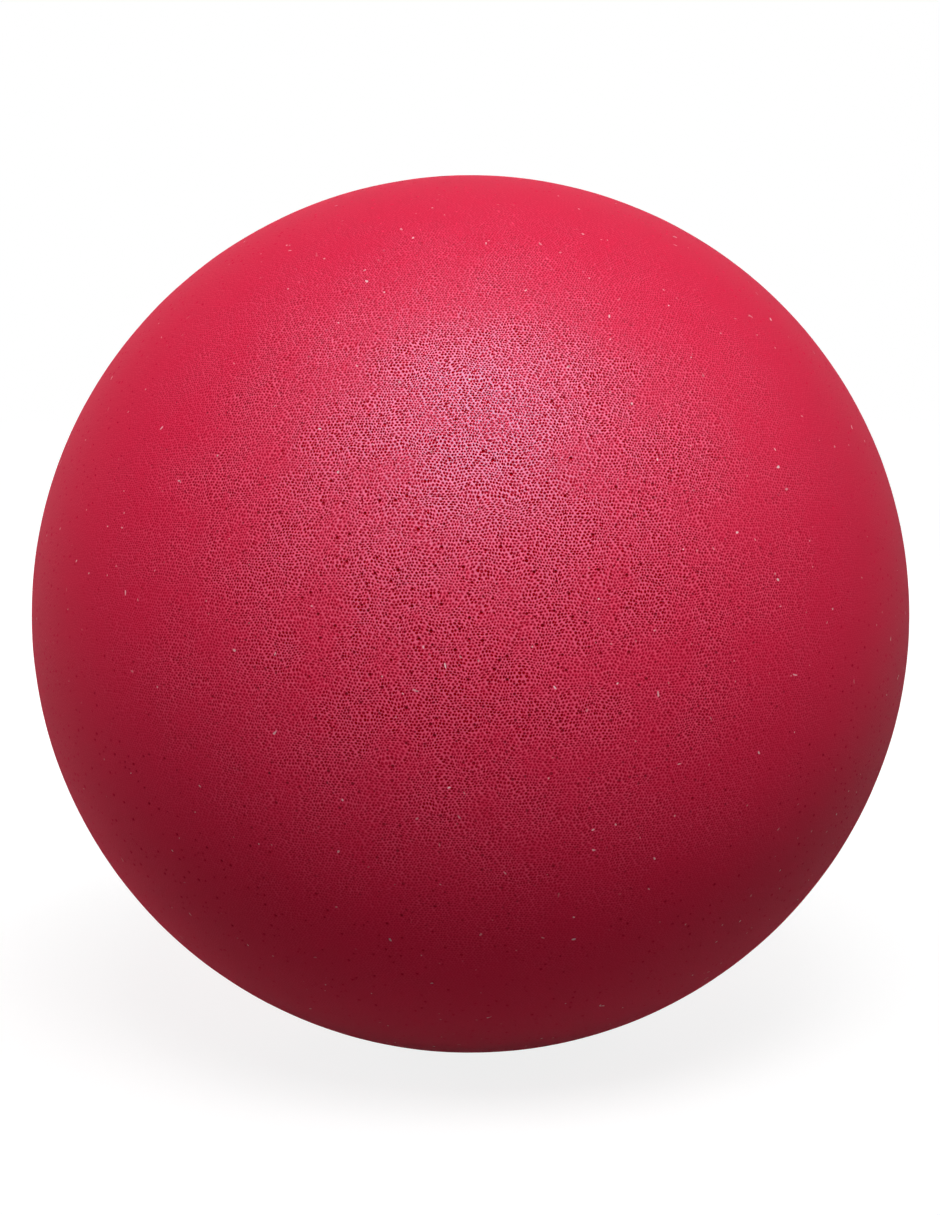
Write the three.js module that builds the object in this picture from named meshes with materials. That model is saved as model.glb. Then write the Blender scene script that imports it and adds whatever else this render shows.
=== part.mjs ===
// Moulded foam play ball, the size of a mini basketball.
// Millimetres, +Z up, origin at the ball's centre.
//
// The ball is foamed in one shot inside a mould of two half shells, which meet in the XZ plane.
// Where the foam meets the cool mould it packs down into a dense skin, one half skin to each half
// of the mould. The two half skins join along the parting line, where a low bead is left of the
// trimmed flash. The foam is poured through a gate at the rear pole. Its stub is part of the
// core, passes through a hole in the rear skin and is trimmed to the round of the ball.

import * as THREE from 'three';

// Driving dimensions
const ballDiameter = 178;
const skinThickness = 1.5;
const bondGap = 0.3; // between skin and core, and round the gate stub
const beadWidth = 1.6; // of the trimmed flash, across the parting line
const beadHeight = 0.25; // above the round of the ball
const gateDiameter = 12; // of the stub, at the rear pole
const gateEdgeRadius = 0.5; // on the trimmed stub, and on the rim of the skin round it

// Fineness of the facets
const turnSteps = 64; // round the mould axis
const quarterSteps = 16; // from a pole to the parting line
const beadSteps = 3; // on each side of the parting line
const edgeSteps = 3; // round the edge of the gate

// Sizes that follow
const ballRadius = ballDiameter / 2;
const skinInnerRadius = ballRadius - skinThickness;
const coreRadius = skinInnerRadius - bondGap;
const stubRadius = gateDiameter / 2;
const gateHoleRadius = stubRadius + bondGap;

// A profile lies in the plane of the mould axis: x is the distance from the axis, and y the place
// along it, with the front pole at -y. Angles are measured from the front pole.
const quarterTurn = Math.PI / 2;
const arcStep = quarterTurn / quarterSteps;

function angleAt(radius, distanceFromAxis) {
  return Math.asin(distanceFromAxis / radius);
}

function arcPoint(radius, angle) {
  return new THREE.Vector2(radius * Math.sin(angle), -radius * Math.cos(angle));
}

// The round of the ball from one angle to a larger one. All arcs turn at the same angles, so the
// facets of skin and core are parallel and their gap is even.
function roundArc(radius, from, to) {
  const points = [arcPoint(radius, from)];
  const first = Math.floor(from / arcStep + 1.01);
  for (let i = first; i * arcStep < to - 0.01 * arcStep; i += 1) {
    points.push(arcPoint(radius, i * arcStep));
  }
  points.push(arcPoint(radius, to));
  return points;
}

// A rounded edge: a quarter circle about centre, from one direction to the next.
function edgeArc(centre, radius, fromAngle) {
  const points = [];
  for (let i = 0; i <= edgeSteps; i += 1) {
    const angle = fromAngle + (quarterTurn * i) / edgeSteps;
    const x = centre.x + radius * Math.cos(angle);
    const y = centre.y + radius * Math.sin(angle);
    points.push(new THREE.Vector2(x, y));
  }
  return points;
}

// Half of the bead, from the round of the ball up to its crown on the parting line.
function beadArc() {
  const points = [];
  for (let i = 1; i <= beadSteps; i += 1) {
    const y = (-beadWidth / 2) * (1 - i / beadSteps);
    const rise = beadHeight * Math.cos((Math.PI * y) / beadWidth) ** 2;
    points.push(new THREE.Vector2(Math.sqrt(ballRadius ** 2 - y ** 2) + rise, y));
  }
  return points;
}

// From a pole or a gate hole out to the parting line along the outside of a half skin, and back
// along its inside. This is the front half; the rear half is its mirror image.
function halfSkinProfile(holeRadius) {
  const beadStart = Math.acos(beadWidth / 2 / ballRadius);
  const rimRadius = holeRadius > 0 ? gateEdgeRadius : 0;
  const outerStart = angleAt(ballRadius, holeRadius + rimRadius);
  const innerStart = angleAt(skinInnerRadius, holeRadius);
  const profile = [
    ...roundArc(ballRadius, outerStart, beadStart),
    ...beadArc(),
    ...roundArc(skinInnerRadius, innerStart, quarterTurn).reverse(),
  ];
  if (holeRadius > 0) {
    const centre = profile[0].clone();
    centre.y += rimRadius;
    const rim = edgeArc(centre, rimRadius, Math.PI);
    profile.unshift(...rim.slice(0, -1));
    profile.push(profile[0].clone());
  }
  return profile;
}

function mirrored(profile) {
  return profile.map((point) => new THREE.Vector2(point.x, -point.y)).reverse();
}

// The core from its front pole to the stub, up the stub and over the trimmed end of it.
function coreProfile() {
  const stubFoot = Math.PI - angleAt(coreRadius, stubRadius);
  const capStart = Math.PI - angleAt(ballRadius, stubRadius - gateEdgeRadius);
  const cap = roundArc(ballRadius, capStart, Math.PI);
  const centre = cap[0].clone();
  centre.y -= gateEdgeRadius;
  const edge = edgeArc(centre, gateEdgeRadius, 0);
  return [...roundArc(coreRadius, 0, stubFoot), ...edge.slice(0, -1), ...cap];
}

// Puts the ends of a profile that lie on the axis exactly there, and turns it about the axis.
function turned(profile) {
  for (const point of profile) {
    if (Math.abs(point.x) < 1e-9) point.x = 0;
  }
  return new THREE.LatheGeometry(profile, turnSteps);
}

const skinFinish = { color: 0xc62346, roughness: 0.62, metalness: 0 };
const coreFinish = { color: 0xcf3a58, roughness: 0.9, metalness: 0 };

function piece(name, profile, finish) {
  const mesh = new THREE.Mesh(turned(profile), new THREE.MeshStandardMaterial(finish));
  mesh.name = name;
  return mesh;
}

const ball = new THREE.Group();
ball.name = 'foam_ball';
ball.add(piece('foam_core', coreProfile(), coreFinish));
ball.add(piece('skin_front', halfSkinProfile(0), skinFinish));
ball.add(piece('skin_rear', mirrored(halfSkinProfile(gateHoleRadius)), skinFinish));

export default ball;
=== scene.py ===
import math
import random

import bpy
import numpy as np
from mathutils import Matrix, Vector, kdtree, noise
from mathutils.geometry import delaunay_2d_cdt

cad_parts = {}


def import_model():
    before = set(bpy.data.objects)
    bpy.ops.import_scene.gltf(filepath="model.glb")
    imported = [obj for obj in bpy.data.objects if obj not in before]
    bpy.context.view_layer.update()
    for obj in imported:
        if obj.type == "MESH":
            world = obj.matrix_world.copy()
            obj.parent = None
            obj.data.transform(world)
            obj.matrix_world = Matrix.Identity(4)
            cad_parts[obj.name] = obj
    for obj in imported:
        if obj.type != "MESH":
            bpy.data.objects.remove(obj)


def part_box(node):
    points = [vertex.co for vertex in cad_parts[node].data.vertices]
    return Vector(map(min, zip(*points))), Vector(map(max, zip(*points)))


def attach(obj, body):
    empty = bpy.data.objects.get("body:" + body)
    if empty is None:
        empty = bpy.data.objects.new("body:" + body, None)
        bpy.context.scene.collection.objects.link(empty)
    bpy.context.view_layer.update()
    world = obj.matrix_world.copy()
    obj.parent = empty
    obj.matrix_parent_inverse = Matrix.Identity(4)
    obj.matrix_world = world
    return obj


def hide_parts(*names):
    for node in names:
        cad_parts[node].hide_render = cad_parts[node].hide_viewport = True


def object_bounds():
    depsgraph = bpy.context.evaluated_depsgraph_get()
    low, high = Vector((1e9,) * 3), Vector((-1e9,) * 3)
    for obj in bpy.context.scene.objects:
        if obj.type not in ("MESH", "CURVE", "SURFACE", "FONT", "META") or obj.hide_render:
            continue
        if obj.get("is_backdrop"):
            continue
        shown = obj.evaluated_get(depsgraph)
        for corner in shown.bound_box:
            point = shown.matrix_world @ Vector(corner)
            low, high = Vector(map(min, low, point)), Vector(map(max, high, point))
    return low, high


# Looks of the moulded foam ball: two half skins full of open pores, the bead of the trimmed flash
# where they meet, and the cut stub of the pour gate at the rear. All lengths are in metres.

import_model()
cad_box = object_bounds()
MM = 0.001

# Sizes that the frame gives
skin_low, skin_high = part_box("skin_front")
core_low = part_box("foam_core")[0]
BALL_RADIUS = -skin_low.y
BEAD_HEIGHT = skin_high.x - BALL_RADIUS
CORE_RADIUS = -core_low.y
LOWEST = cad_box[0].z

# Sizes repeated from the CAD source
BOND_GAP = 0.3 * MM
BEAD_WIDTH = 1.6 * MM
STUB_RADIUS = 6 * MM
EDGE_RADIUS = 0.5 * MM  # of the rounded edges of the stub and of the hole round it

SKIN_INNER_RADIUS = CORE_RADIUS + BOND_GAP
HOLE_RADIUS = STUB_RADIUS + BOND_GAP
GATE_ANGLE = math.asin((HOLE_RADIUS + EDGE_RADIUS) / BALL_RADIUS)  # from the pole to the skin's own round

# Fineness of the skins
ROUND_STEP = 0.9 * MM  # along the parting line
GATE_STEP = 0.55 * MM  # round the hole of the gate
ROUND_COUNT = round(2 * math.pi * BALL_RADIUS / ROUND_STEP)
GATE_COUNT = round(2 * math.pi * HOLE_RADIUS / GATE_STEP)
BEAD_ROWS = 4
EDGE_ROWS = 3
FILL_STEP = 2.0 * MM  # between the points that fill up round the pits
FILL_ROW = 0.866  # between rows of points that are evenly spread, in steps
FILL_JITTER = 0.35  # in steps
LEAST_SINE = 0.05  # of the angle from the pole, where the jitter is divided by it
INSIDE_ROWS = 24  # from the pole to the parting plane
INSIDE_COUNTS = (6, 96)  # points in the shortest row and in a row of full length
INSIDE_MARGIN = 2 * MM  # without rows, round the hole of the gate
SAME_POINT = 1e-7  # points of a flat map that lie closer are one

# The bead of the trimmed flash, and the slow unevenness of the skins
BEAD_UNEVENNESS = 0.15
BEAD_WAVE = 4 * MM
LUMP_HEIGHT = 0.035 * MM
LUMP_SIZE = 9 * MM

# The modelled pits, which are the larger of the pores
PIT_CORNERS = 6
PITS_PER_HALF = 4000
PIT_RADII = (0.24 * MM, 0.42 * MM)
PIT_RARITY = 2.2  # the higher it is, the fewer of the pits are large
SPARE_PITS = 1.35  # tried for each one that is kept
PIT_DEPTH = 0.9  # of its radius
PIT_GAP = 0.30 * MM
PIT_LIP = 1.5  # reach of the level foam that belongs to a pit, in its radii
# Rings of a pit: radius and depth as shares of its own, and how far in the pit it lies
PIT_RINGS = ((PIT_LIP, 0.0, 0.0), (1.0, 0.0, 0.4), (0.62, 0.75, 0.8))
CLEARANCE = 0.05 * MM  # from a pit to the bead, to the gate and, on the stub, to the next pit
WIDEST_LIP = PIT_LIP * PIT_RADII[1] + CLEARANCE
# The height of a pit above the parting plane is between these, in radii of the ball
ABOVE_BEAD = (BEAD_WIDTH / 2 + WIDEST_LIP) / BALL_RADIUS
BELOW_GATE = math.cos(GATE_ANGLE + WIDEST_LIP / BALL_RADIUS)

# The core and its gate stub
STUB_COUNT = 84  # points round the stub, and round the core
CORE_ROWS = 40
STUB_PIT_TRIES = 4000
STUB_PIT_RADII = (0.2 * MM, 0.55 * MM)
STUB_PIT_MARGIN = 0.85 * MM  # from the middle of a pit to the stub's rounded edge

# Areas on the maps of the pieces: middle and reach of the round ones, corner and size of the oblong one
OUTSIDE_MAP = (Vector((0.47, 0.53)), 0.46)
INSIDE_MAP = (Vector((0.925, 0.075)), 0.07)
CAP_MAP = (Vector((0.4, 0.6)), 0.36)
SIDE_MAP_CORNER = (0.02, 0.07)
SIDE_MAP_SIZE = (0.9, 0.06)


def turns(count):
    """Angles all round, evenly spread."""
    return [2 * math.pi * i / count for i in range(count)]


def polar(angle, turn, side):
    """Direction at an angle from the pole of the front (side -1) or rear (side 1) half."""
    out = math.sin(angle)
    return Vector((out * math.cos(turn), side * math.cos(angle), out * math.sin(turn)))


def unit_disc(direction, side):
    """Stereographic map of the half ball round the pole at y = side onto the unit disc."""
    reach = 1 + side * direction[1]
    return (direction[0] / reach, direction[2] / reach)


def disc_spot(direction, side, area):
    """Place on a piece's map of a direction on the half ball, in a round area that keeps areas."""
    middle, reach = area
    spread = reach / math.sqrt(1 + side * direction[1])
    return tuple(middle + Vector((spread * direction[0], spread * direction[2])))


def lump(place):
    return LUMP_HEIGHT * noise.noise(place / LUMP_SIZE)


class Shell:
    """Collects one piece: its vertices, how deep in a pit each lies, its map and its faces."""

    def __init__(self):
        self.places = []
        self.pits = []
        self.map = []
        self.faces = []
        self.sharp = set()
        self.round = []

    def vertex(self, place, spot, pit=0.0):
        self.places.append(place)
        self.pits.append(pit)
        self.map.append(spot)
        return len(self.places) - 1

    def ring(self, count, reach, y, spot):
        """Vertices on a circle about the mould axis."""
        indices = []
        for turn in turns(count):
            place = Vector((reach * math.cos(turn), y, reach * math.sin(turn)))
            indices.append(self.vertex(place, spot(place)))
        return indices

    def patch(self, points, outward, hole=()):
        """Triangles over points, each with its place on the stereographic plane and its vertex.
        Those with all three corners on the edge of a hole are left out."""
        found = delaunay_2d_cdt([Vector(flat) for flat, _ in points], [], [], 0, SAME_POINT)
        origin = [points[sources[0]][1] for sources in found[3]]
        edge = set(hole)
        for triangle in found[2]:
            corners = [origin[i] for i in triangle]
            if not edge.issuperset(corners):
                self.faces.append(corners if outward else corners[::-1])

    def strip(self, near, far):
        """A closed band of faces between two rings of as many vertices."""
        count = len(near)
        for i in range(count):
            j = (i + 1) % count
            self.faces.append([near[i], near[j], far[j], far[i]])

    def piece(self, name, material):
        mesh = bpy.data.meshes.new(name)
        mesh.from_pydata(self.places, [], self.faces)
        depth = mesh.attributes.new("pit", "FLOAT", "POINT")
        depth.data.foreach_set("value", self.pits)
        layer = mesh.uv_layers.new(name="OFBake")
        spots = [self.map[loop.vertex_index] for loop in mesh.loops]
        layer.data.foreach_set("uv", [number for spot in spots for number in spot])
        mesh.shade_smooth()
        hard = [self.sharp.issuperset(edge.vertices) for edge in mesh.edges]
        mesh.attributes.new("sharp_edge", "BOOLEAN", "EDGE").data.foreach_set("value", hard)
        self.smooth(mesh)
        mesh.materials.append(material)
        made = bpy.data.objects.new(name, mesh)
        bpy.context.scene.collection.objects.link(made)
        return made

    def smooth(self, mesh):
        """Shades the vertices between the pits, and on their rims, by the ball's own round."""
        normals = np.empty(3 * len(mesh.loops), np.float32)
        mesh.corner_normals.foreach_get("vector", normals)
        normals = normals.reshape(-1, 3)
        vertices = np.empty(len(mesh.loops), np.int32)
        mesh.loops.foreach_get("vertex_index", vertices)
        flagged = np.zeros(len(self.places), bool)
        flagged[self.round] = True
        directions = np.array(self.places, np.float32)
        directions /= np.linalg.norm(directions, axis=1, keepdims=True)
        own = flagged[vertices]
        normals[own] = directions[vertices[own]]
        mesh.normals_split_custom_set(normals)


def tree_of(pits):
    """Finds the pits near a place."""
    tree = kdtree.KDTree(len(pits))
    for i, (direction, _) in enumerate(pits):
        tree.insert(direction * BALL_RADIUS, i)
    tree.balance()
    return tree


def scattered_pits(side, seed, keep_out):
    """Centre directions and radii of the larger pores of one half, none of them touching."""
    dice = random.Random(seed)
    candidates = []
    for _ in range(round(SPARE_PITS * PITS_PER_HALF)):
        height = dice.random()
        turn = dice.uniform(0, 2 * math.pi)
        radius = PIT_RADII[0] + (PIT_RADII[1] - PIT_RADII[0]) * dice.random() ** PIT_RARITY
        candidates.append((polar(math.acos(height), turn, side), radius))
    candidates = [c for c in candidates if not keep_out(c[0])]
    candidates.sort(key=lambda c: -c[1])
    tree = tree_of(candidates)
    taken = set()
    reach = PIT_LIP * 2 * PIT_RADII[1] + PIT_GAP
    for i, (direction, radius) in enumerate(candidates):
        near = tree.find_range(direction * BALL_RADIUS, reach)
        if all(j not in taken or d > PIT_LIP * (radius + candidates[j][1]) + PIT_GAP for _, j, d in near):
            taken.add(i)
        if len(taken) == PITS_PER_HALF:
            break
    return [candidates[i] for i in sorted(taken)]


def pit_rings(direction, radius, turn):
    """The vertices of one pit: (direction, depth, how far in it), from the foam round it to its bottom."""
    across = direction.orthogonal().normalized()
    along = direction.cross(across)
    depth = PIT_DEPTH * radius
    for size, share, within in PIT_RINGS:
        for i in range(PIT_CORNERS):
            angle = turn + 2 * math.pi * i / PIT_CORNERS
            offset = across * math.cos(angle) + along * math.sin(angle)
            yield (direction + offset * (size * radius / BALL_RADIUS)).normalized(), share * depth, within
    yield direction, depth, 1.0


def fill_points(side, seed, near_pits, keep_out):
    """Directions spread evenly between the pits, a little off a spiral."""
    dice = random.Random(seed)
    count = int(2 * math.pi * BALL_RADIUS**2 / (FILL_ROW * FILL_STEP**2))
    golden = math.pi * (3 - math.sqrt(5))
    jitter = FILL_JITTER * FILL_STEP / BALL_RADIUS
    for i in range(count):
        height = (i + 0.5) / count
        angle = math.acos(height) + dice.uniform(-jitter, jitter)
        turn = i * golden + dice.uniform(-jitter, jitter) / max(math.sin(angle), LEAST_SINE)
        direction = polar(angle, turn, side)
        if not keep_out(direction) and not near_pits(direction):
            yield direction


class HalfSkin(Shell):
    """The front (side -1) or rear (side 1) half skin: bead, pitted outside and plain inside. The rear
    one also has the hole of the gate, with its rounded edge and its wall."""

    def __init__(self, side, seed):
        super().__init__()
        self.side = side
        self.has_gate = side > 0
        self.outside = []
        self.inside = []
        self.crown = []  # of the bead, on the parting line
        self.mouth = []  # of the gate, where its rounded edge begins
        self.rim = []  # of the inside, on the parting plane
        self.wall_foot = []  # where the wall of the gate's hole meets the inside
        self.add_bead()
        if self.has_gate:
            self.add_mouth()
        pits = scattered_pits(side, seed, self.keep_out)
        self.add_pits(pits, seed + 1)
        self.add_fill(pits, seed + 2)
        self.patch(self.outside, side < 0, self.mouth)
        self.add_inside()
        self.patch(self.inside, side > 0, self.wall_foot)
        if side < 0:
            self.strip(self.rim, self.crown)
        else:
            self.strip(self.crown, self.rim)
        if self.has_gate:
            self.add_gate_wall()

    def outer_spot(self, direction):
        return disc_spot(direction, self.side, OUTSIDE_MAP)

    def add_outer(self, direction, place, pit=0.0):
        index = self.vertex(place, self.outer_spot(direction), pit)
        self.outside.append((unit_disc(direction, self.side), index))
        return index

    def add_inner(self, direction):
        spot = disc_spot(direction, self.side, INSIDE_MAP)
        index = self.vertex(direction * SKIN_INNER_RADIUS, spot)
        self.inside.append((unit_disc(direction, self.side), index))
        return index

    def keep_out(self, direction):
        """True on the bead and at the gate, where there are no pits."""
        height = self.side * direction[1]
        return height < ABOVE_BEAD or (self.has_gate and height > BELOW_GATE)

    def add_bead(self):
        """Row by row, up to the crown."""
        for row in range(BEAD_ROWS + 1):
            y = BEAD_WIDTH / 2 * (1 - row / BEAD_ROWS)
            angle = math.acos(y / BALL_RADIUS)
            rise = BEAD_HEIGHT * math.cos(math.pi * y / BEAD_WIDTH) ** 2
            self.crown = []
            for turn in turns(ROUND_COUNT):
                direction = polar(angle, turn, self.side)
                outwards = Vector((math.cos(turn), 0, math.sin(turn)))
                wave = noise.noise(outwards * (BALL_RADIUS / BEAD_WAVE))
                uneven = 1 - BEAD_UNEVENNESS + BEAD_UNEVENNESS * wave
                place = direction * BALL_RADIUS + outwards * rise * uneven
                self.crown.append(self.add_outer(direction, place))
        self.sharp.update(self.crown)

    def add_mouth(self):
        for turn in turns(GATE_COUNT):
            direction = polar(GATE_ANGLE, turn, self.side)
            self.mouth.append(self.add_outer(direction, direction * BALL_RADIUS))
        self.round.extend(self.mouth)

    def add_pits(self, pits, seed):
        dice = random.Random(seed)
        for direction, radius in pits:
            for at, depth, within in pit_rings(direction, radius, dice.uniform(0, math.pi)):
                height = BALL_RADIUS + lump(at * BALL_RADIUS) - depth
                index = self.add_outer(at, at * height, within)
                if not depth:
                    self.round.append(index)

    def add_fill(self, pits, seed):
        tree = tree_of(pits)

        def near_pits(direction):
            _, i, distance = tree.find(direction * BALL_RADIUS)
            return distance < PIT_LIP * pits[i][1] + PIT_GAP

        for direction in fill_points(self.side, seed, near_pits, self.keep_out):
            height = BALL_RADIUS + lump(direction * BALL_RADIUS)
            self.round.append(self.add_outer(direction, direction * height))

    def add_inside(self):
        """From the parting plane to the pole, or to the wall of the gate's hole."""
        self.rim = [self.add_inner(polar(math.pi / 2, turn, self.side)) for turn in turns(ROUND_COUNT)]
        self.sharp.update(self.rim)
        if self.has_gate:
            foot_angle = math.asin(HOLE_RADIUS / SKIN_INNER_RADIUS)
            for turn in turns(GATE_COUNT):
                self.wall_foot.append(self.add_inner(polar(foot_angle, turn, self.side)))
            self.sharp.update(self.wall_foot)
        least, full = INSIDE_COUNTS
        for row in range(1, INSIDE_ROWS):
            angle = math.pi / 2 * row / INSIDE_ROWS
            if self.has_gate and SKIN_INNER_RADIUS * math.sin(angle) < HOLE_RADIUS + INSIDE_MARGIN:
                continue
            count = max(least, round(full * math.sin(angle)))
            for i in range(count):
                turn = 2 * math.pi * (i + 0.5 * (row % 2)) / count
                self.add_inner(polar(angle, turn, self.side))
        if not self.has_gate:
            self.add_inner(polar(0, 0, self.side))

    def add_gate_wall(self):
        """The rounded edge of the gate's hole, and its wall."""
        mouth_y = self.side * BALL_RADIUS * math.cos(GATE_ANGLE)
        last = self.mouth
        for row in range(1, EDGE_ROWS + 1):
            bend = math.pi / 2 * row / EDGE_ROWS
            reach = HOLE_RADIUS + EDGE_RADIUS * (1 - math.sin(bend))
            y = mouth_y - EDGE_RADIUS * (1 - math.cos(bend))
            ring = self.ring(GATE_COUNT, reach, y, lambda place: self.outer_spot(place.normalized()))
            self.strip(ring, last)
            last = ring
        self.strip(self.wall_foot, last)


def cap_spot(place):
    """Place on the core's map of the cut end of the stub, and of its edge."""
    middle, reach = CAP_MAP
    scale = reach / STUB_RADIUS
    return (middle.x + scale * place[0], middle.y + scale * place[2])


def side_spot(place):
    """Place on the core's map of its round side."""
    turn = math.atan2(place[2], place[0]) / (2 * math.pi) + 0.5
    down = (BALL_RADIUS - place[1]) / (2 * BALL_RADIUS)
    across = SIDE_MAP_CORNER[0] + SIDE_MAP_SIZE[0] * turn
    return (across, SIDE_MAP_CORNER[1] + SIDE_MAP_SIZE[1] * down)


def stub_pits(dice):
    """Centre directions and radii of the pores on the cut end of the stub, none of them touching."""
    pits = []
    least, largest = STUB_PIT_RADII
    for _ in range(STUB_PIT_TRIES):
        reach = (STUB_RADIUS - EDGE_RADIUS - STUB_PIT_MARGIN) * math.sqrt(dice.random())
        radius = least + (largest - least) * dice.random() ** 2
        direction = polar(math.asin(reach / BALL_RADIUS), dice.uniform(0, 2 * math.pi), 1)
        place = direction * BALL_RADIUS
        gaps = [(place - other * BALL_RADIUS).length - PIT_LIP * (radius + r) for other, r in pits]
        if all(gap > CLEARANCE for gap in gaps):
            pits.append((direction, radius))
    return pits


def foam_body(seed):
    """The core: a ball under the skin, with the gate stub and its pitted, cut end."""
    shell = Shell()
    cap = []

    def add_cap(direction, height, pit=0.0):
        place = direction * height
        index = shell.vertex(place, cap_spot(place), pit)
        cap.append((unit_disc(direction, 1), index))
        return index

    edge_angle = math.asin((STUB_RADIUS - EDGE_RADIUS) / BALL_RADIUS)
    last = [add_cap(polar(edge_angle, turn, 1), BALL_RADIUS) for turn in turns(STUB_COUNT)]
    dice = random.Random(seed)
    for direction, radius in stub_pits(dice):
        for at, depth, within in pit_rings(direction, radius, dice.uniform(0, math.pi)):
            add_cap(at, BALL_RADIUS - depth, within)
    shell.patch(cap, False)

    edge_y = BALL_RADIUS * math.cos(edge_angle) - EDGE_RADIUS
    for row in range(1, EDGE_ROWS + 1):
        bend = math.pi / 2 * row / EDGE_ROWS
        reach = STUB_RADIUS - EDGE_RADIUS * (1 - math.sin(bend))
        ring = shell.ring(STUB_COUNT, reach, edge_y + EDGE_RADIUS * math.cos(bend), cap_spot)
        shell.strip(last, ring)
        last = ring

    foot = math.pi - math.asin(STUB_RADIUS / CORE_RADIUS)
    for row in range(CORE_ROWS):
        angle = foot * (1 - row / CORE_ROWS)
        places = [polar(angle, turn, -1) * CORE_RADIUS for turn in turns(STUB_COUNT)]
        ring = [shell.vertex(place, side_spot(place)) for place in places]
        shell.strip(last, ring)
        last = ring
        if row == 0:
            shell.sharp.update(ring)
    pole_place = Vector((0, -CORE_RADIUS, 0))
    pole = shell.vertex(pole_place, side_spot(pole_place))
    for i in range(STUB_COUNT):
        shell.faces.append([last[i], last[(i + 1) % STUB_COUNT], pole])
    return shell


class Nodes:
    """Short forms for building a material's nodes."""

    def __init__(self, tree):
        self.tree = tree
        tree.nodes.clear()

    def add(self, kind, inputs=None, **settings):
        made = self.tree.nodes.new(kind)
        for key, value in settings.items():
            setattr(made, key, value)
        for key, value in (inputs or {}).items():
            self.put(made.inputs[key], value)
        return made

    def put(self, socket, value):
        if isinstance(value, bpy.types.NodeSocket):
            self.tree.links.new(value, socket)
        else:
            socket.default_value = value

    def math(self, operation, a, b=0.0, clamp=False):
        made = self.add("ShaderNodeMath", {0: a, 1: b}, operation=operation, use_clamp=clamp)
        return made.outputs[0]

    def between(self, value, low, high, out_low=0.0, out_high=1.0):
        """value from low to high, eased, as out_low to out_high."""
        sockets = {"Value": value, "From Min": low, "From Max": high, "To Min": out_low, "To Max": out_high}
        made = self.add("ShaderNodeMapRange", sockets, interpolation_type="SMOOTHSTEP")
        return made.outputs["Result"]

    def blend(self, share, a, b):
        made = self.add("ShaderNodeMix", {0: share, 2: a, 3: b}, data_type="FLOAT")
        return made.outputs[0]

    def mix(self, share, a, b):
        made = self.add("ShaderNodeMix", data_type="RGBA")
        self.put(made.inputs[0], share)
        self.put(made.inputs[6], a)
        self.put(made.inputs[7], b)
        return made.outputs[2]

    def join(self, x, y, z=0.0):
        return self.add("ShaderNodeCombineXYZ", {0: x, 1: y, 2: z}).outputs[0]

    def split(self, vector):
        return self.add("ShaderNodeSeparateXYZ", {0: vector}).outputs

    def channels(self, colour):
        return self.add("ShaderNodeSeparateColor", {0: colour}).outputs

    def noise(self, place, size, detail=2.0):
        sockets = {"Vector": place, "Scale": 1 / size, "Detail": detail}
        return self.add("ShaderNodeTexNoise", sockets).outputs["Fac"]

    def bubbles(self, place, size, randomness):
        sockets = {"Vector": place, "Scale": 1 / size, "Randomness": randomness}
        return self.add("ShaderNodeTexVoronoi", sockets)


# The fine pores, with reaches from a pore's middle, in pitches
PORE_PITCH = 0.60 * MM
PORE_DISORDER = 0.36
ROW_STEP = math.sqrt(0.75)  # between rows of evenly packed pores, in pitches
PORE_REACH = 0.33  # of the smallest pores
PORE_SPREAD = 0.14  # by which the largest reach further
PORE_SIDE = 0.15  # width of a pore's sloping side
PORE_DEPTHS = (0.7, 1.15)
# The pale wall is partly paler foam and partly a painted glint on the rims
WALL_REACH = (0.26, 0.56)  # where the pale wall between pores begins, and where it is palest
BEND = 1.3 * MM  # by which the rows of pores are bent
BEND_SIZE = 4 * MM

# The two flat maps of the pores: a cap round each pole and a belt round the parting line
BELT_ANGLE = math.radians(56)  # from a pole to where the belt begins
BELT_BLEND = 0.004  # half the width of the change, in radians
BELT_WANDER = 0.25  # of the change, in radians
BELT_WANDER_SIZE = 6 * MM
CAP_SHIFT = 7.3  # moves the front cap and the rear cap to different pores
TINY = 0.0001  # stands in for a sine of 0

# The patch on each half where the pores are open
OPEN_ELEVATION = math.radians(15)  # of its middle
OPEN_REACH = (math.radians(10), math.radians(59))  # from there, fully open to nearly closed
CLOSED_SHARE = 0.08  # how open the pores still are past it
# How strong the painted shade in the modelled pits still is past the open patch
CLOSED_PIT_SHADE = 0.1  # how dark the modelled pits still are past it

# The modelled pits: how far in one the painted shade begins and is full, and the fine pores end and are whole
PIT_PAINTED_SHADE = (0.42, 0.75)
PIT_CLEAR = (0.42, 0.25)

# Unevenness of the colour
NOISE_RANGE = (0.3, 0.7)  # in which nearly all values of a noise lie
MOTTLE_SIZE = 11 * MM
MOTTLE_SHARES = (0.7, 1.3)
FIBRE_SIZE = 0.5 * MM
FIBRE_SHARES = (0.6, 1.3)

# Dust, with its reaches in pitches, from a speck's edge to where it is full
DUST_PITCH = 3.6 * MM
DUST_DISORDER = 1.0
DUST_REACH = (0.088, 0.048)
DUST_RARITY = 1.5  # the higher it is, the fewer of the specks are bright
DUST_BEND = 2.2 * MM
DUST_BEND_SIZE = 1.8 * MM

# Shine
CLOSED_SHINE = 0.05
WALL_SHINE = 0.20
SHINE_REACH = (math.radians(50), math.radians(82))  # from the middle of the open patch, where gloss fades
EDGE_SHINE = 0.07  # share of the gloss that is left there
REAR_GLOSS = 0.5  # of the front half's, as the rear half is duller
ROUGHNESS = 0.56
SHINE_TINT = (0.18, 0.7, 1.0, 1)
SHEEN = 0.012
SHEEN_ROUGHNESS = 0.5
BUMP_STRENGTH = 0.4
BUMP_HEIGHT = 0.16 * MM

# Walls: partly their own paler foam, partly a painted glint on the rims
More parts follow.
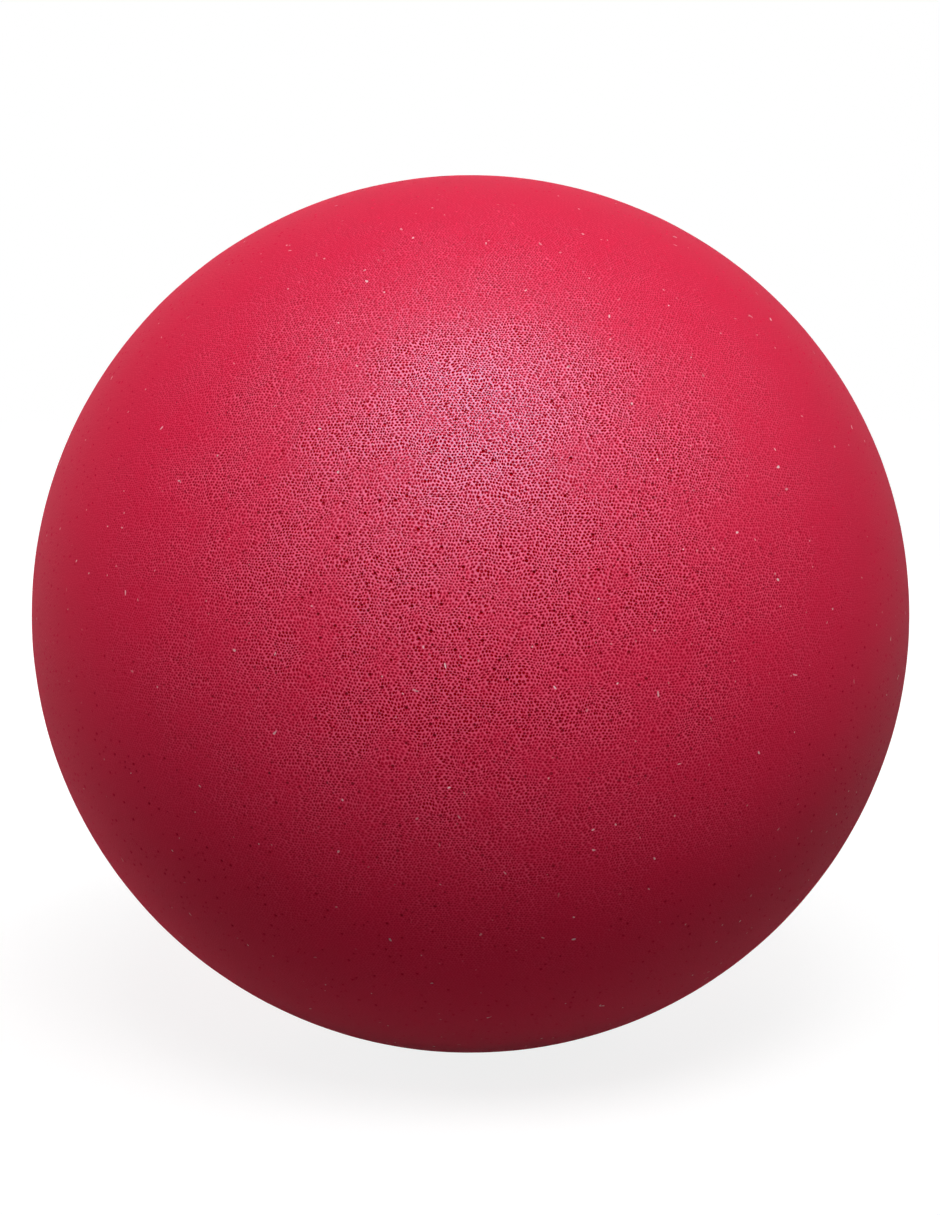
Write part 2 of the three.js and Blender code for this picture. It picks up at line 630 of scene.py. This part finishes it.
WALL_AND_PAINTED_GLINT_COLOUR = (0.95, 0.08, 0.175, 1)
FOAM_COLOUR = (0.80, 0.011, 0.060, 1)
# Painted shade at the bottom of the fine pores
PORE_PAINTED_SHADE_COLOUR = (0.38, 0.0, 0.004, 1)
# Painted shade in the modelled pits, deeper than the shade that their own depth casts
PIT_PAINTED_SHADE_COLOUR = (0.33, 0.0, 0.004, 1)
SPECK_COLOUR = (1.0, 0.64, 0.68, 1)


def moved(n, place, reach, size):
    """The place, moved a little by a smooth noise of the given size."""
    wave = n.add("ShaderNodeTexNoise", {"Vector": place, "Scale": 1 / size, "Detail": 0.0})
    shift = {0: wave.outputs["Color"], 1: (0.5, 0.5, 0.5)}
    centred = n.add("ShaderNodeVectorMath", shift, operation="SUBTRACT").outputs[0]
    sockets = {0: centred, 1: (reach, reach, reach), 2: place}
    return n.add("ShaderNodeVectorMath", sockets, operation="MULTIPLY_ADD").outputs[0]


def packed_cells(n, x, y, pitch):
    """Round cells in staggered rows: distance from the cell's middle in pitches, and its random colour."""
    row = n.math("DIVIDE", y, ROW_STEP)
    along = n.math("SUBTRACT", x, n.math("MULTIPLY", row, 0.5))
    skewed = n.join(along, row)
    cells = n.bubbles(skewed, pitch, PORE_DISORDER)
    cells.voronoi_dimensions = "2D"
    offset = n.add("ShaderNodeVectorMath", {0: cells.outputs["Position"], 1: skewed}, operation="SUBTRACT")
    off = n.split(offset.outputs[0])
    off_x = n.math("ADD", off["X"], n.math("MULTIPLY", off["Y"], 0.5))
    off_y = n.math("MULTIPLY", off["Y"], ROW_STEP)
    length = n.add("ShaderNodeVectorMath", {0: n.join(off_x, off_y)}, operation="LENGTH").outputs["Value"]
    return n.math("DIVIDE", length, pitch), cells.outputs["Color"]


def pore_field(n, place):
    """Cells of open pores, spread evenly over the ball: distance from the pore's middle, two chances for
    each cell, and the angle from the middle of the open patch. Each of the two flat maps that carry
    the cells is nearly true to size where it is used."""
    bent = moved(n, place, BEND, BEND_SIZE)
    unit = n.add("ShaderNodeVectorMath", {0: bent}, operation="NORMALIZE").outputs[0]
    axes = n.split(unit)
    side = n.math("SIGN", axes["Y"])
    height = n.math("ABSOLUTE", axes["Y"])
    polar_angle = n.math("ARCCOSINE", height)
    stretch = n.math("DIVIDE", polar_angle, n.math("MAXIMUM", n.math("SINE", polar_angle), TINY))
    cap_x = n.math("ADD", n.math("MULTIPLY", axes["X"], stretch), n.math("MULTIPLY", side, CAP_SHIFT))
    cap_y = n.math("MULTIPLY", axes["Z"], stretch)
    belt_x = n.math("ARCTAN2", axes["X"], axes["Z"])
    belt_y = n.math("ARCSINE", axes["Y"])
    pitch = PORE_PITCH / BALL_RADIUS
    cap_distance, cap_chance = packed_cells(n, cap_x, cap_y, pitch)
    belt_distance, belt_chance = packed_cells(n, belt_x, belt_y, pitch)
    wander = n.math("MULTIPLY", n.math("SUBTRACT", n.noise(place, BELT_WANDER_SIZE), 0.5), BELT_WANDER)
    border = n.math("ADD", polar_angle, wander)
    belt = n.between(border, BELT_ANGLE - BELT_BLEND, BELT_ANGLE + BELT_BLEND)
    distance = n.blend(belt, cap_distance, belt_distance)
    chances = n.channels(n.mix(belt, cap_chance, belt_chance))
    middle = (0, math.cos(OPEN_ELEVATION), math.sin(OPEN_ELEVATION))
    folded = n.join(axes["X"], height, axes["Z"])
    nearness = n.add("ShaderNodeVectorMath", {0: folded, 1: middle}, operation="DOT_PRODUCT").outputs["Value"]
    return distance, chances[0], chances[1], n.math("ARCCOSINE", nearness)


def dusted(n, place, colour):
    """The colour with specks of dust on it."""
    dust = n.bubbles(moved(n, place, DUST_BEND, DUST_BEND_SIZE), DUST_PITCH, DUST_DISORDER)
    bright = n.math("POWER", n.channels(dust.outputs["Color"])[0], DUST_RARITY)
    speck = n.math("MULTIPLY", n.between(dust.outputs["Distance"], *DUST_REACH), bright)
    return n.mix(speck, colour, SPECK_COLOUR)


def foam_material(name, closed_share, specks, gloss=1.0):
    """Open-pored flexible foam: pores darkened with painted shade between paler walls, whose pale colour is
    partly a painted glint, some of the pores closed, and dust on it.
    closed_share is how open the foam still is past the open patch."""
    material = bpy.data.materials.new(name)
    material.use_nodes = True
    n = Nodes(material.node_tree)
    place = n.add("ShaderNodeTexCoord").outputs["Object"]
    distance, size_chance, depth_chance, away = pore_field(n, place)
    mottle = n.between(n.noise(place, MOTTLE_SIZE, 3.0), *NOISE_RANGE, *MOTTLE_SHARES)
    openness = n.math("MULTIPLY", n.between(away, *OPEN_REACH, 1.0, closed_share), mottle)

    # The modelled pits: how far in one, from the level foam round it to its bottom
    within = n.add("ShaderNodeAttribute", attribute_name="pit").outputs["Fac"]
    # pit: painted shade in the modelled pits, faded past the open patch; it also takes the gloss away there
    pit = n.math("MULTIPLY", n.between(within, *PIT_PAINTED_SHADE), n.between(away, *OPEN_REACH, 1.0, CLOSED_PIT_SHADE))
    clear = n.between(within, *PIT_CLEAR)

    # The fine pores, with painted shade in them, and the walls between them, whose pale colour is partly the
    # foam's own and partly a painted glint
    reach = n.math("ADD", PORE_REACH, n.math("MULTIPLY", n.math("POWER", size_chance, 2.0), PORE_SPREAD))
    dip = n.between(distance, reach, n.math("SUBTRACT", reach, PORE_SIDE))
    depth = n.between(depth_chance, 0.0, 1.0, *PORE_DEPTHS)
    hollow = n.math("MULTIPLY", n.math("MULTIPLY", dip, clear), depth)
    # pore: how much painted shade a fine pore puts in the colour; it also takes the gloss away there
    pore = n.math("MULTIPLY", hollow, openness, True)
    fibre = n.between(n.noise(place, FIBRE_SIZE, 1.0), *NOISE_RANGE, *FIBRE_SHARES)
    wall = n.math("MULTIPLY", n.between(distance, *WALL_REACH), fibre)
    wall_and_painted_glint = n.math("MULTIPLY", wall, openness, True)

    # Pale walls, partly a painted glint; then painted shade in the fine pores and in the modelled pits
    colour = n.mix(wall_and_painted_glint, FOAM_COLOUR, WALL_AND_PAINTED_GLINT_COLOUR)
    colour = n.mix(pore, colour, PORE_PAINTED_SHADE_COLOUR)
    colour = n.mix(pit, colour, PIT_PAINTED_SHADE_COLOUR)
    if specks:
        colour = dusted(n, place, colour)

    height = n.math("MULTIPLY", hollow, n.math("MULTIPLY", openness, -1.0))
    bump = n.add("ShaderNodeBump", {"Height": height, "Strength": BUMP_STRENGTH, "Distance": BUMP_HEIGHT})
    level = n.math("SUBTRACT", 1.0, n.math("MAXIMUM", pore, pit))
    shine = n.math("ADD", CLOSED_SHINE, n.math("MULTIPLY", wall_and_painted_glint, WALL_SHINE))
    shine = n.math("MULTIPLY", level, shine)
    shine = n.math("MULTIPLY", shine, n.between(away, *SHINE_REACH, gloss, gloss * EDGE_SHINE))
    sockets = {
        "Base Color": colour,
        "Roughness": ROUGHNESS,
        "Specular IOR Level": shine,
        "Specular Tint": SHINE_TINT,
        "Sheen Weight": SHEEN,
        "Sheen Roughness": SHEEN_ROUGHNESS,
        "Normal": bump.outputs[0],
    }
    surface = n.add("ShaderNodeBsdfPrincipled", sockets)
    n.add("ShaderNodeOutputMaterial", {"Surface": surface.outputs[0]})
    return material


WHITE = (1, 1, 1, 1)


def seen_directly(n):
    """1 for what the camera sees, and for what gloss and glass show."""
    path = n.add("ShaderNodeLightPath")
    seen = n.math("MAXIMUM", path.outputs["Is Camera Ray"], path.outputs["Is Glossy Ray"])
    return n.math("MAXIMUM", seen, path.outputs["Is Transmission Ray"])


FLOOR_COLOUR = (0.24, 0.24, 0.24, 1)
FLOOR_REACH = 4.0
FLOOR_CORNERS = 96
SHADOW_REACH = 0.45
SHADOW_WHITE = 0.84  # how white the floor shows under the ball, apart from its lit colour


def floor_material():
    """Pale floor, which goes over to plain white away from the ball and keeps its shadow near it."""
    material = bpy.data.materials.new("floor_paper")
    material.use_nodes = True
    n = Nodes(material.node_tree)
    place = n.add("ShaderNodeTexCoord").outputs["Object"]
    away = n.add("ShaderNodeVectorMath", {0: place}, operation="LENGTH").outputs["Value"]
    glow = n.between(away, 0.0, SHADOW_REACH, SHADOW_WHITE, 1.0)
    paper = n.add("ShaderNodeBsdfDiffuse", {"Color": FLOOR_COLOUR})
    strength = n.math("MULTIPLY", seen_directly(n), glow)
    white = n.add("ShaderNodeEmission", {"Color": WHITE, "Strength": strength})
    both = n.add("ShaderNodeAddShader", {0: paper.outputs[0], 1: white.outputs[0]})
    n.add("ShaderNodeOutputMaterial", {"Surface": both.outputs[0]})
    return material


def floor():
    mesh = bpy.data.meshes.new("floor")
    corners = [(FLOOR_REACH * math.cos(t), FLOOR_REACH * math.sin(t), 0) for t in turns(FLOOR_CORNERS)]
    mesh.from_pydata(corners, [], [range(FLOOR_CORNERS)])
    mesh.materials.append(floor_material())
    made = bpy.data.objects.new("floor", mesh)
    made.location.z = LOWEST
    bpy.context.scene.collection.objects.link(made)
    made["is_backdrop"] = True


SKY_LEVEL = 0.01


def world():
    """White where it is seen directly, and hardly any light from it."""
    made = bpy.data.worlds.new("studio")
    made.use_nodes = True
    n = Nodes(made.node_tree)
    strength = n.math("ADD", SKY_LEVEL, n.math("MULTIPLY", seen_directly(n), 1 - SKY_LEVEL))
    back = n.add("ShaderNodeBackground", {"Color": WHITE, "Strength": strength})
    n.add("ShaderNodeOutputWorld", {"Surface": back.outputs[0]})
    bpy.context.scene.world = made


LAMP_DISTANCE = 1.0
# name, azimuth and elevation as seen from the ball (0, 0 is towards the camera), width, height, level
LAMPS = (
    ("key", 0, 50, 0.4, 0.4, 0.60),
    ("key_right", 25, 56, 0.4, 0.4, 0.26),
    ("side_left", -120, 5, 0.4, 0.4, 0.31),
    ("side_right", 120, 25, 0.4, 0.4, 0.04),
    ("back_fill", 180, 8, 0.5, 0.5, 0.25),
)
# These only make the highlight
SHINES = (
    ("shine_high", 4, 56, 0.3, 0.3, 5.9),
    ("shine_low", -10, 30, 0.3, 0.5, 0.75),
    ("shine_right", 80, 35, 0.3, 0.3, 0.3),
)


def lamp(name, azimuth, elevation, width, height, level, only_shine=False):
    """A soft lamp. level is the light that it puts on a surface that faces it, where 1 shows white
    as white."""
    data = bpy.data.lights.new(name, "AREA")
    data.shape = "RECTANGLE"
    data.size = width
    data.size_y = height
    data.energy = level * math.pi**2 * LAMP_DISTANCE**2
    made = bpy.data.objects.new(name, data)
    bpy.context.scene.collection.objects.link(made)
    around, up = math.radians(azimuth), math.radians(elevation)
    towards = Vector((math.sin(around) * math.cos(up), -math.cos(around) * math.cos(up), math.sin(up)))
    made.location = towards * LAMP_DISTANCE
    made.rotation_mode = "QUATERNION"
    made.rotation_quaternion = (-towards).to_track_quat("-Z", "Y")
    made.visible_camera = False
    made.visible_diffuse = not only_shine
    made.visible_glossy = only_shine


# The photograph, in its pixels: the ball's outline is a circle on it
PHOTO_SIZE = (940, 1215)
PHOTO_CENTRE = (470.5, 613.7)
PHOTO_RADIUS = 438.9
CAMERA_DISTANCE = 5 * BALL_RADIUS
CAMERA_ELEVATION = math.radians(7)
NEAREST_SEEN = 10 * MM
SENSOR = 36  # in millimetres, as Blender has sensor and lens


def camera():
    """Sees the ball's outline where the photograph has it."""
    across = math.tan(math.asin(BALL_RADIUS / CAMERA_DISTANCE))
    focal_pixels = PHOTO_RADIUS / across
    data = bpy.data.cameras.new("camera")
    data.sensor_width = SENSOR
    data.lens = SENSOR * focal_pixels / PHOTO_SIZE[1]
    data.clip_start = NEAREST_SEEN
    made = bpy.data.objects.new("camera", data)
    bpy.context.scene.collection.objects.link(made)
    back = Vector((0, -math.cos(CAMERA_ELEVATION), math.sin(CAMERA_ELEVATION)))
    made.location = back * CAMERA_DISTANCE
    right = Vector((1, 0, 0))
    up = right.cross(-back)
    aside = (PHOTO_SIZE[0] / 2 - PHOTO_CENTRE[0]) / focal_pixels * CAMERA_DISTANCE
    above = (PHOTO_CENTRE[1] - PHOTO_SIZE[1] / 2) / focal_pixels * CAMERA_DISTANCE
    target = right * aside + up * above
    made.rotation_mode = "QUATERNION"
    made.rotation_quaternion = (target - made.location).to_track_quat("-Z", "Y")
    bpy.context.scene.camera = made


bpy.context.scene.view_settings.view_transform = "Standard"
camera()
world()
floor()
for values in LAMPS:
    lamp(*values)
for values in SHINES:
    lamp(*values, only_shine=True)

front_foam = foam_material("front_skin_foam_look", CLOSED_SHARE, True)
rear_foam = foam_material("rear_skin_foam_look", CLOSED_SHARE, True, REAR_GLOSS)
core_foam = foam_material("core_foam_look", 1.0, False, REAR_GLOSS)
front = HalfSkin(-1, 11).piece("front_half_skin", front_foam)
rear = HalfSkin(1, 21).piece("rear_half_skin", rear_foam)
body = foam_body(31).piece("core_with_gate_stub", core_foam)
for made, node, slot in (
    (front, "skin_front", "skin_foam"),
    (rear, "skin_rear", "skin_foam"),
    (body, "foam_core", "core_foam"),
):
    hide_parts(node)
    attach(made, "root")

boxes = {"cad": cad_box, "visual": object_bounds()}
{key: [list(corner) for corner in box] for key, box in boxes.items()}
